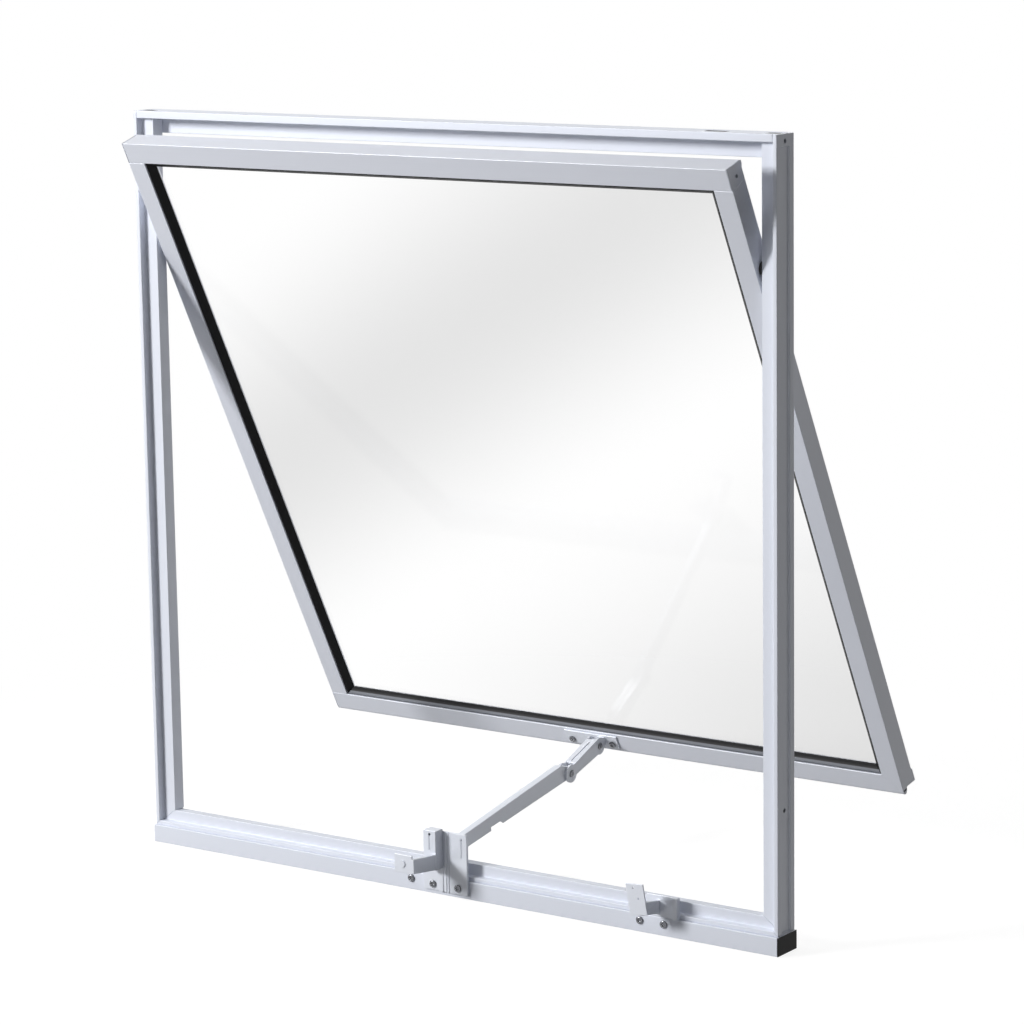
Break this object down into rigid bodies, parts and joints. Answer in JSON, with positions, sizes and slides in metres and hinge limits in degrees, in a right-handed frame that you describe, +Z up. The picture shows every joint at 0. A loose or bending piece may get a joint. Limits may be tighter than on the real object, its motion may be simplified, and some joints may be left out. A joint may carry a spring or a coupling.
{
  "type": "top hung awning window",
  "caption": "Aluminium awning window shown open: fixed frame on a sub-sill, glazed sash tilted out, folding stay and turn latches.",
  "frame": {"origin": "middle of the sub-sill's flat underside, in the plane of the fixed frame's room face", "axes": "+X from left to right as seen from the room, +Y outdoors through the frame's depth, +Z up"},
  "size_m": [0.9032, 0.428, 0.9065],
  "materials": {
    "frame_aluminium": "satin",
    "sash_aluminium": "satin",
    "rubber": "matte",
    "glass": "gloss",
    "cap_plastic": "matte",
    "pivot_plastic": "matte",
    "hardware": "satin",
    "screw_steel": "satin"
  },
  "bodies": {
    "root": {"base_screw_left": "screw_steel", "base_screw_right": "screw_steel", "end_cap_left": "cap_plastic", "end_cap_right": "cap_plastic", "frame_head": "frame_aluminium", "frame_jamb_left": "frame_aluminium", "frame_jamb_right": "frame_aluminium", "frame_sill": "frame_aluminium", "gasket_bottom": "rubber", "gasket_left": "rubber", "gasket_rear": "rubber", "gasket_right": "rubber", "gasket_top": "rubber", "glass_pane": "glass", "head_slot_plug": "cap_plastic", "jamb_plug_left": "cap_plastic", "jamb_plug_right": "cap_plastic", "latch_left": "hardware", "latch_left_base": "hardware", "latch_right": "hardware", "latch_right_base": "hardware", "latch_screw_left": "screw_steel", "latch_screw_right_a": "screw_steel", "latch_screw_right_b": "screw_steel", "pivot_pin_left": "pivot_plastic", "pivot_pin_right": "pivot_plastic", "sash_bottom_rail": "sash_aluminium", "sash_low_cap_left": "sash_aluminium", "sash_screw_left": "screw_steel", "sash_screw_right": "screw_steel", "sash_stile_left": "sash_aluminium", "sash_stile_right": "sash_aluminium", "sash_top_cap_left": "sash_aluminium", "sash_top_cap_right": "sash_aluminium", "sash_top_rail": "sash_aluminium", "stay_base_bracket": "hardware", "stay_base_pin": "screw_steel", "stay_elbow_pin": "screw_steel", "stay_long_arm": "hardware", "stay_sash_bracket": "hardware", "stay_sash_pin": "screw_steel", "stay_short_arm": "hardware", "sub_sill": "frame_aluminium"}
  },
  "joints": []
}
